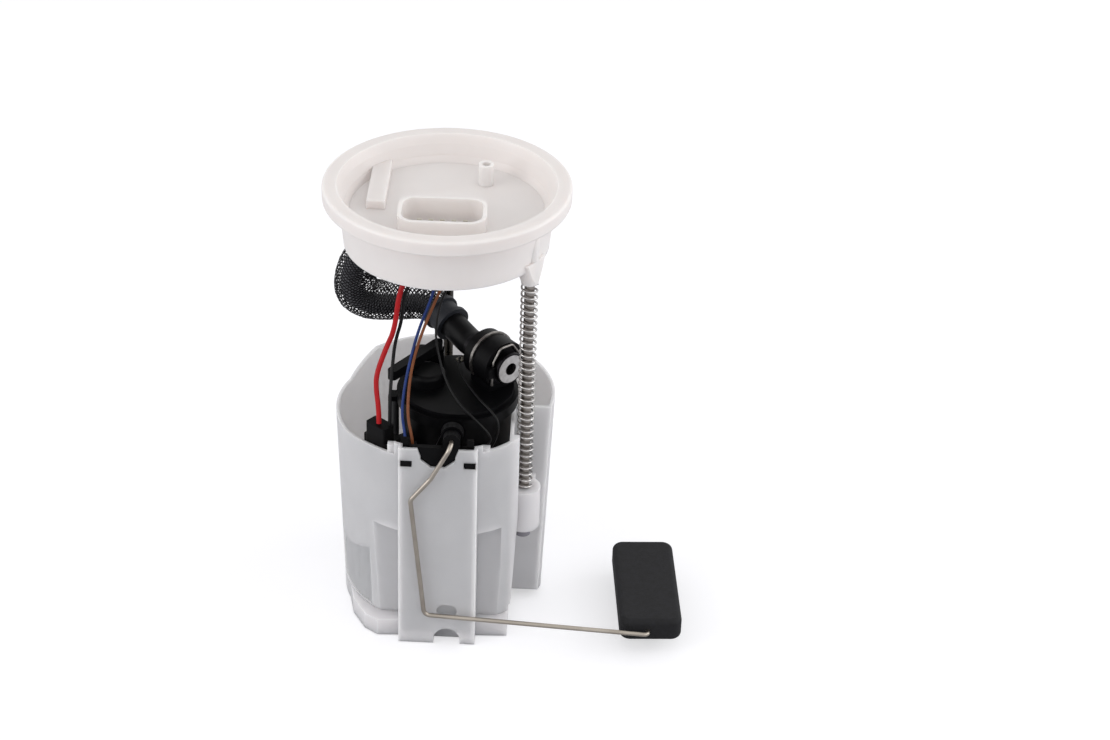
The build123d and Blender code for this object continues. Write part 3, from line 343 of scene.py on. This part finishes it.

# The regulator's drawn ring is polished bright up to its crimp. From there outwards its colour is painted
# near black, and behind the ring its can takes the dark steel: both are painted shade of the holder's
# pocket.
regulator_face = Vector((36.0, -14.0, 150.5)) * MM
regulator_way = Vector((0.66, -0.75, 0.0)).normalized()
polished_radius = 8.1 * MM
ring_height = 1.72 * MM
regulator_ring_and_painted_shade = metal("polished_ring_and_painted_shade", "#D4D2D0", "#BCBAB8", roughness=0.3, streak=3 * MM)
tree = regulator_ring_and_painted_shade.node_tree
shader = tree.nodes["Principled BSDF"]
bright = tree.nodes["Color Ramp"].outputs["Color"]
away = grow(
    tree,
    "ShaderNodeVectorMath",
    {"operation": "SUBTRACT"},
    {0: object_place(tree), 1: regulator_face},
)
aside = grow(
    tree,
    "ShaderNodeVectorMath",
    {"operation": "CROSS_PRODUCT"},
    {0: away.outputs["Vector"], 1: regulator_way},
)
reach = grow(tree, "ShaderNodeVectorMath", {"operation": "LENGTH"}, {0: aside.outputs["Vector"]})
# Beyond the polished radius the ring's colour is painted shade.
painted_shade_mask = compute(tree, "GREATER_THAN", reach.outputs["Value"], polished_radius)
ring_tone_and_painted_shade = grow(
    tree,
    "ShaderNodeMix",
    {"data_type": "RGBA"},
    {"Factor": painted_shade_mask, MIX_A: bright, MIX_B: linear("#1E1D1F")},
)
tree.links.new(ring_tone_and_painted_shade.outputs[MIX_RESULT], shader.inputs["Base Color"])
dress(regulator_ring_and_painted_shade, "pressure_regulator")
regulator = nodes["pressure_regulator"].data
# The can behind the ring is given the dark steel as painted shade.
regulator.materials.append(black_steel_and_painted_shade)
for polygon in regulator.polygons:
    if (polygon.center - regulator_face).dot(regulator_way) < -ring_height:
        polygon.material_index = 1

# The ring of the ground terminal is black steel, and only its tab is tinned.
terminal_ring = 8.5 * MM
terminal = nodes["ground_terminal"].data
terminal.materials.append(black_steel_and_painted_shade)
for polygon in terminal.polygons:
    reach = polygon.center - regulator_face
    if (reach - regulator_way * reach.dot(regulator_way)).length < terminal_ring:
        polygon.material_index = 1

# ---------------------------------------------------------------- resistor card
# Fired alumina card with a dark printed resistor track in an arc, swept by the wiper contacts.
track_centre = (7.0 * MM, 131.0 * MM)
track_radius = 16.0 * MM
track_half_width = 1.6 * MM
card, tree, shader = blank_material("fired_alumina")
spot = grow(tree, "ShaderNodeSeparateXYZ", links={"Vector": object_place(tree)})
across = compute(tree, "SUBTRACT", spot.outputs["X"], track_centre[0])
along = compute(tree, "SUBTRACT", spot.outputs["Z"], track_centre[1])
flat = grow(tree, "ShaderNodeCombineXYZ", links={"X": across, "Y": along})
reach = grow(tree, "ShaderNodeVectorMath", {"operation": "LENGTH"}, {0: flat.outputs["Vector"]})
off_track = compute(tree, "SUBTRACT", reach.outputs["Value"], track_radius)
ink = compute(tree, "LESS_THAN", compute(tree, "ABSOLUTE", off_track), track_half_width)
face = grow(
    tree,
    "ShaderNodeMix",
    {"data_type": "RGBA"},
    {"Factor": ink, MIX_A: linear("#DAD8D2"), MIX_B: linear("#24221F")},
)
tree.links.new(face.outputs[MIX_RESULT], shader.inputs["Base Color"])
shader.inputs["Roughness"].default_value = 0.45
dress(card, "resistor_card")

# ---------------------------------------------------------------- fuel hose
# Corrugated grey nylon tube from the collar on the duct to the spigot under the lid, bent round the
# outside of the rods with enough slack for the lid's travel. Sizes and places are in millimetres.
hose_points = [
    (-2.13, 30.15, 155.54),
    (-10.77, 40.49, 158.58),
    (-28.0, 40.0, 157.0),
    (-45.5, 33.0, 160.0),
    (-55.5, 28.0, 171.5),
    (-50.0, 23.0, 197.0),
    (-33.0, 15.5, 209.0),
    (-33.0, 15.5, 228.0),
]
hose_radius = 5.3
rib_pitch = 2.4
rib_depth = 0.5
rings_per_rib = 6.0

ribs = bpy.data.node_groups.new("corrugation", "GeometryNodeTree")
ribs.interface.new_socket("Geometry", in_out="INPUT", socket_type="NodeSocketGeometry")
for label in ("Radius", "Rib Pitch", "Rib Depth"):
    ribs.interface.new_socket(label, in_out="INPUT", socket_type="NodeSocketFloat")
ribs.interface.new_socket("Material", in_out="INPUT", socket_type="NodeSocketMaterial")
ribs.interface.new_socket("Geometry", in_out="OUTPUT", socket_type="NodeSocketGeometry")
entry = grow(ribs, "NodeGroupInput")
rings = grow(
    ribs,
    "GeometryNodeResampleCurve",
    {"mode": "LENGTH"},
    {
        "Curve": entry.outputs["Geometry"],
        "Length": compute(ribs, "DIVIDE", entry.outputs["Rib Pitch"], rings_per_rib),
    },
)
travel = grow(ribs, "GeometryNodeSplineParameter")
turns = compute(ribs, "DIVIDE", travel.outputs["Length"], entry.outputs["Rib Pitch"])
swell = compute(ribs, "SINE", compute(ribs, "MULTIPLY", turns, 2 * pi))
depth = compute(ribs, "MULTIPLY", swell, entry.outputs["Rib Depth"])
ring = grow(
    ribs,
    "GeometryNodeCurvePrimitiveCircle",
    {"mode": "RADIUS"},
    {"Resolution": 28, "Radius": 1.0},
)
skin = grow(
    ribs,
    "GeometryNodeCurveToMesh",
    links={
        "Curve": rings.outputs["Curve"],
        "Profile Curve": ring.outputs["Curve"],
        "Scale": compute(ribs, "ADD", entry.outputs["Radius"], depth),
        "Fill Caps": True,
    },
)
close_group(ribs, skin.outputs["Mesh"], entry.outputs["Material"])

hose_nylon = moulded(
    "corrugated_nylon", "#6E6E74", "#626268", grain=0.5 * MM, bump=0.25, roughness=0.45, ior=1.5
)
hose_line = smooth_line("hose_line", hose_points)
pleats = hose_line.modifiers.new("corrugation", "NODES")
pleats.node_group = ribs
names = sockets(ribs)
pleats[names["Radius"]] = hose_radius * MM
pleats[names["Rib Pitch"]] = rib_pitch * MM
pleats[names["Rib Depth"]] = rib_depth * MM
pleats[names["Material"]] = hose_nylon
hose = as_mesh(hose_line, "corrugated_fuel_hose")
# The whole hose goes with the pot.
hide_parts("corrugated_hose")
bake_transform(hose)
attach(hose, "pot")

# ---------------------------------------------------------------- braided sleeve
# Expandable sleeve of black nylon monofilament round the hose, which keeps it from rubbing. Flat bundles
# of threads cross in two directions and let light through between them. Sizes and places are in millimetres.
sleeve_points = [(-6.0, 34.7, 156.9), *hose_points[1:-1], (-33.0, 15.5, 226.0)]
sleeve_radius = 9.1
bundle_count = 22
bundle_lead = 46.0
bundle_width = 0.82
bundle_thickness = 0.22
weave_height = 0.18
# The sleeve is loose, so it stands off towards the inside of the bend. It does so fully at these lengths
# from the duct and from the lid.
sleeve_slack = 2.6
slack_from_duct = 18
slack_from_lid = 25

centre = line_points(sleeve_points)
lengths = [0.0]
for before, after in zip(centre, centre[1:]):
    lengths.append(lengths[-1] + (after - before).length)
frames = []
side = Vector((0, 0, 1))
for index, spot in enumerate(centre):
    ahead = centre[min(index + 1, len(centre) - 1)] - centre[max(index - 1, 0)]
    ahead.normalize()
    side = (side - ahead * side.dot(ahead)).normalized()
    frames.append((spot, side.copy(), ahead.cross(side)))
slack = [
    sleeve_slack * min(1.0, run / (slack_from_duct * MM), (lengths[-1] - run) / (slack_from_lid * MM))
    for run in lengths
]

# Each bundle is a flat strip wound one way round, four corners at every place along the sleeve. It passes
# over and under the bundles that are wound the other way.
spread = bundle_width / 2 / sleeve_radius
corners = []
faces = []
for hand in (-1, 1):
    for bundle in range(bundle_count):
        start = 2 * pi * bundle / bundle_count
        row = []
        for index, (spot, one, two) in enumerate(frames):
            twist = 2 * pi * lengths[index] / (bundle_lead * MM)
            turn = start + hand * twist
            wave = weave_height * sin(bundle_count * twist + pi * bundle) * hand
            for edge in (-spread, spread):
                for lift in (-bundle_thickness / 2, bundle_thickness / 2):
                    reach = sleeve_radius + wave + lift
                    angle = turn + edge
                    inwards = reach * cos(angle) + slack[index] * (1 + cos(angle))
                    corners.append(spot + (one * inwards + two * reach * sin(angle)) * MM)
            row.append(len(corners) - 4)
        for a, b in zip(row, row[1:]):
            for p, q in ((0, 1), (1, 3), (3, 2), (2, 0)):
                faces.append((a + p, a + q, b + q, b + p))
        faces.append((row[0], row[0] + 2, row[0] + 3, row[0] + 1))
        faces.append((row[-1], row[-1] + 1, row[-1] + 3, row[-1] + 2))
braid_mesh = bpy.data.meshes.new("sleeve_braid")
braid_mesh.from_pydata(corners, [], faces)
braid = new_object("sleeve_braid", braid_mesh)
monofilament = moulded(
    "nylon_monofilament",
    "#0C0C0F",
    "#08080A",
    grain=0.4 * MM,
    bump=0.2,
    roughness=0.42,
    ior=1.3,
    patch=5 * MM,
)
braid_mesh.materials.append(monofilament)
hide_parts("braided_sleeve")
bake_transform(braid)
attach(braid, "pot")


# ---------------------------------------------------------------- wires
# Copper leads in extruded PVC: a thick red and a black one for the pump, blue and brown for the sender,
# and thin black ground leads. The insulation is smooth and glossy. Places are in millimetres.
def insulated(name, light, dark):
    """Smooth glossy insulation in one colour."""
    return moulded(name, light, dark, grain=1.5 * MM, bump=0.12, roughness=0.38, ior=1.3, patch=6 * MM)


red_pvc = insulated("red_pvc", "#B0161C", "#9C1016")
black_pvc = insulated("black_pvc", "#0A0A0C", "#060607")
blue_pvc = insulated("blue_pvc", "#1F3878", "#182C62")
brown_pvc = insulated("brown_pvc", "#7E4A2C", "#6C3D22")
pin_xs = [-13.2, -7.2, -1.2, 4.8, 10.8]
pin_y = -18.5
pin_foot = 225.5
# Each lead has its insulation, the name of its slot, its radius and its route from its upper end down.
lead_routes = {
    "wire_red": (
        red_pvc,
        "red_insulation",
        1.4,
        [
            (pin_xs[0], pin_y, pin_foot),
            (-15, -19, 217),
            (-23, -23.5, 203),
            (-25.3, -27, 180),
            (-29.5, -28, 170),
            (-34.8, -32, 155),
            (-34.6, -35.2, 147),
            (-32.9, -38.8, 137),
            (-32.8, -40.2, 129.5),
        ],
    ),
    "wire_black": (
        black_pvc,
        "black_insulation",
        0.95,
        [
            (pin_xs[1], pin_y, pin_foot),
            (-10, -19, 216),
            (-20.5, -22, 202),
            (-21.7, -24, 184),
            (-25.3, -26, 172),
            (-26.5, -31, 157),
            (-27.1, -37, 145.5),
            (-27, -39.8, 137.5),
            (-26.9, -41.3, 129.4),
        ],
    ),
    "wire_blue": (
        blue_pvc,
        "blue_insulation",
        0.8,
        [
            (pin_xs[2], pin_y, pin_foot),
            (-3, -17.5, 212),
            (-6, -18, 196),
            (-13.4, -22, 177),
            (-18, -30, 158),
            (-20, -36, 146),
            (-20.5, -41, 136),
            (-18.5, -48, 130),
            (-17.5, -51, 124.5),
        ],
    ),
    "wire_brown": (
        brown_pvc,
        "brown_insulation",
        0.8,
        [
            (pin_xs[3], pin_y, pin_foot),
            (2.5, -17, 212),
            (-3.5, -18, 196),
            (-11.2, -23.4, 177),
            (-16, -29, 160),
            (-17.5, -37, 146),
            (-17, -45, 136),
            (-14.5, -50, 129),
            (-14, -51, 124.5),
        ],
    ),
    "ground_wire_long": (
        black_pvc,
        "black_insulation",
        0.6,
        [
            (pin_xs[4], pin_y, pin_foot),
            (8, -13, 212),
            (-1.5, -10, 192),
            (-4.8, -16, 175),
            (-3, -20, 163),
            (1.5, -28, 151),
            (9, -38, 143),
            (19, -44.5, 136.5),
            (28, -45.5, 127),
            (25.5, -42.5, 120),
            (22.0, -38.9, 112.2),
        ],
    ),
    "ground_wire_short": (
        black_pvc,
        "black_insulation",
        0.6,
        [
            (7.8, -0.2, 148.0),
            (6.5, -8, 147.0),
            (17.8, -30, 143),
            (29, -42, 139),
            (31.3, -44, 134),
            (30.5, -41.5, 124),
            (25.9, -36.7, 112.2),
        ],
    ),
}
# Each lead is drawn along its route in its insulation and goes with the pot.
for name, (pvc, slot_name, radius, points) in lead_routes.items():
    line = smooth_line(name + "_line", points)
    line.data.bevel_depth = radius * MM
    line.data.bevel_resolution = 4
    line.data.use_fill_caps = True
    lead = as_mesh(line, name + "_lead")
    lead.data.materials.clear()
    lead.data.materials.append(pvc)
    lead.data.shade_smooth()
    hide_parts(name)
    if name != "ground_wire_short":
        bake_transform(lead)
    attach(lead, "pot")

# ---------------------------------------------------------------- level sender, arm and float
# The arm is one bent length of stainless wire. The float is a block of moulded closed-cell nitrile foam,
# dull and very slightly pitted, bluish black under a pale light.
stainless_wire = metal("stainless_wire", "#B4ACA2", "#A59D93", roughness=0.34, streak=12 * MM)
dress(stainless_wire, "float_arm")

cell_size = 0.7 * MM
mottle_size = 2.5 * MM
foam, tree, shader = blank_material("nitrile_foam")
place = object_place(tree)
cells = grow(tree, "ShaderNodeTexVoronoi", links={"Vector": place, "Scale": 1 / cell_size})
mottle = grow(tree, "ShaderNodeTexNoise", links={"Vector": place, "Scale": 1 / mottle_size, "Detail": 4.0})
tone = two_tones(tree, mottle.outputs["Fac"], "#0E0E10", "#16161A", low=0.3, high=0.7)
relief = grow(
    tree,
    "ShaderNodeBump",
    links={"Height": cells.outputs["Distance"], "Strength": 0.5, "Distance": 0.15 * MM},
)
tree.links.new(tone, shader.inputs["Base Color"])
tree.links.new(relief.outputs["Normal"], shader.inputs["Normal"])
shader.inputs["Roughness"].default_value = 0.75
shader.inputs["IOR"].default_value = 1.38
dress(foam, "float")

# ---------------------------------------------------------------- guide rods and spring
# Ground steel rods pressed into the lid, sliding in the pot's guides. The back one takes a darker copy of
# the same steel, as painted shade. A wire spring round the front rod pushes the lid away from the pot. Sizes
# and places are in millimetres.
ground_rod = metal("ground_steel_rod", "#A39D98", "#8D8782", roughness=0.3, streak=6 * MM)
dress(ground_rod, "guide_rod_front")
# The back rod's steel is drawn darker than the front one's: painted shade.
back_rod_painted_shade = metal("steel_rod_painted_shade", "#4A4744", "#38352F", roughness=0.3, streak=6 * MM)
dress(back_rod_painted_shade, "guide_rod_back")

spring_wire_steel = metal("drawn_spring_steel", "#CFCDCB", "#A8A5A4", roughness=0.24, streak=1.5 * MM)
spring_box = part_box("coil_spring")
spring_wire = 0.55
spring_turns = 32
rod_place = (45.0, -26.0)
coil = bpy.data.node_groups.new("coil", "GeometryNodeTree")
for label in ("Turns", "Coil Radius", "Height", "Wire Radius"):
    coil.interface.new_socket(label, in_out="INPUT", socket_type="NodeSocketFloat")
coil.interface.new_socket("Material", in_out="INPUT", socket_type="NodeSocketMaterial")
coil.interface.new_socket("Geometry", in_out="OUTPUT", socket_type="NodeSocketGeometry")
entry = grow(coil, "NodeGroupInput")
spiral = grow(
    coil,
    "GeometryNodeCurveSpiral",
    links={
        "Resolution": 28,
        "Rotations": entry.outputs["Turns"],
        "Start Radius": entry.outputs["Coil Radius"],
        "End Radius": entry.outputs["Coil Radius"],
        "Height": entry.outputs["Height"],
    },
)
wire_ring = grow(
    coil,
    "GeometryNodeCurvePrimitiveCircle",
    {"mode": "RADIUS"},
    {"Resolution": 10, "Radius": entry.outputs["Wire Radius"]},
)
wound = grow(
    coil,
    "GeometryNodeCurveToMesh",
    links={
        "Curve": spiral.outputs["Curve"],
        "Profile Curve": wire_ring.outputs["Curve"],
        "Fill Caps": True,
    },
)
placed = grow(
    coil,
    "GeometryNodeTransform",
    links={
        "Geometry": wound.outputs["Mesh"],
        "Translation": (rod_place[0] * MM, rod_place[1] * MM, spring_box[0].z + spring_wire * MM),
    },
)
close_group(coil, placed.outputs["Geometry"], entry.outputs["Material"])

seed = new_object("spring_seed", bpy.data.meshes.new("spring_seed"))
winding = seed.modifiers.new("coil", "NODES")
winding.node_group = coil
names = sockets(coil)
winding[names["Turns"]] = float(spring_turns)
winding[names["Coil Radius"]] = (spring_box[1].x - spring_box[0].x) / 2 - spring_wire * MM
winding[names["Height"]] = spring_box[1].z - spring_box[0].z - 2 * spring_wire * MM
winding[names["Wire Radius"]] = spring_wire * MM
winding[names["Material"]] = spring_wire_steel
spring = as_mesh(seed, "rod_spring")
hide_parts("coil_spring")
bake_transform(spring)
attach(spring, "pot")

# ---------------------------------------------------------------- lid
# Moulded in the same natural acetal as the pot, a little whiter because its wall is thicker.
lid_light_depth = 4.0 * MM
lid_acetal = moulded(
    "natural_acetal_lid",
    "#E9E4E2",
    "#E5E0DE",
    grain=acetal_grain,
    bump=0.3,
    roughness=0.45,
    ior=acetal_ior,
    patch=40 * MM,
)
let_light_in(lid_acetal, lid_light_depth)
dress(lid_acetal, "lid")

# ---------------------------------------------------------------- floor and world
# Pale paper floor that keeps the object's shadow and is lifted to white for the camera alone, and a world
# that shows white but lights the object more weakly.
white = linear("#FFFFFF")
floor_half = 4.0
floor_gap = 0.5 * MM
floor_lift = 0.5
ambient_strength = 0.75
floor_mesh = bpy.data.meshes.new("studio_floor")
floor_corners = [(x * floor_half, y * floor_half, 0) for x, y in ((-1, -1), (1, -1), (1, 1), (-1, 1))]
floor_mesh.from_pydata(floor_corners, [], [(0, 1, 2, 3)])
floor = new_object("studio_floor", floor_mesh)
floor.location.z = -floor_gap
paper, tree, shader = blank_material("white_paper")
shader.inputs["Base Color"].default_value = linear("#C4C4C8")
shader.inputs["Roughness"].default_value = 0.9
shader.inputs["Emission Color"].default_value = white
ray = grow(tree, "ShaderNodeLightPath")
lift = compute(tree, "MULTIPLY", ray.outputs["Is Camera Ray"], floor_lift)
tree.links.new(lift, shader.inputs["Emission Strength"])
floor_mesh.materials.append(paper)

world = bpy.data.worlds.new("studio")
bpy.context.scene.world = world
world.use_nodes = True
tree = world.node_tree
tree.nodes.clear()
ray = grow(tree, "ShaderNodeLightPath")
seen = compute(tree, "MAXIMUM", ray.outputs["Is Camera Ray"], ray.outputs["Is Glossy Ray"])
seen = compute(tree, "MAXIMUM", seen, ray.outputs["Is Transmission Ray"])
ambient = grow(tree, "ShaderNodeBackground", links={"Color": white, "Strength": ambient_strength})
backdrop = grow(tree, "ShaderNodeBackground", links={"Color": white, "Strength": 1.0})
either = grow(
    tree,
    "ShaderNodeMixShader",
    links={0: seen, 1: ambient.outputs["Background"], 2: backdrop.outputs["Background"]},
)
grow(tree, "ShaderNodeOutputWorld", links={"Surface": either.outputs["Shader"]})


# ---------------------------------------------------------------- lamps
# A big soft lamp from the left, a weaker one from the front right, and a low one from the right.
def lamp(name, place, *, aim, size, power):
    """A square soft lamp that points at a place."""
    light = bpy.data.lights.new(name, "AREA")
    light.shape = "SQUARE"
    light.size = size
    light.energy = power
    body = new_object(name, light)
    body.location = place
    body.rotation_euler = (Vector(aim) - Vector(place)).to_track_quat("-Z", "Y").to_euler()


lamp("key_lamp", (-1.45, -0.8, 0.75), aim=(0, 0, 0.14), size=1.2, power=11.0)
lamp("fill_lamp", (1.1, -1.0, 0.8), aim=(0, 0, 0.2), size=1.2, power=3.5)
lamp("low_lamp", (1.1, 0.15, 0.5), aim=(-0.03, 0.02, 0.13), size=0.9, power=4.5)

# ---------------------------------------------------------------- camera
# It looks down at the front of the module, and the point that it aims at falls on aim_pixel.
view_distance = 1.417
view_elevation = radians(31.9)
view_azimuth = radians(3.5)
view_roll = radians(0.5)
view_aim = Vector((-0.0015, 0.0, 0.130))
focal_pixels = 2600.0
image_width = 1110.0
image_height = 740.0
aim_pixel = (442.5, 385.0)
sensor_width = 36.0
back = Vector(
    (
        sin(view_azimuth) * cos(view_elevation),
        -cos(view_azimuth) * cos(view_elevation),
        sin(view_elevation),
    )
)
right = Vector((cos(view_azimuth), sin(view_azimuth), 0))
upward = back.cross(right)
camera_data = bpy.data.cameras.new("camera")
camera_data.sensor_width = sensor_width
camera_data.lens = sensor_width * focal_pixels / image_width
camera_data.shift_x = (image_width / 2 - aim_pixel[0]) / image_width
camera_data.shift_y = (aim_pixel[1] - image_height / 2) / image_width
camera = new_object("camera", camera_data)
turn = Matrix((right, upward, back)).transposed().to_4x4()
stand = Matrix.Translation(view_aim + back * view_distance)
camera.matrix_world = stand @ turn @ Matrix.Rotation(view_roll, 4, "Z")
bpy.context.scene.camera = camera
bpy.context.scene.view_settings.view_transform = "Standard"
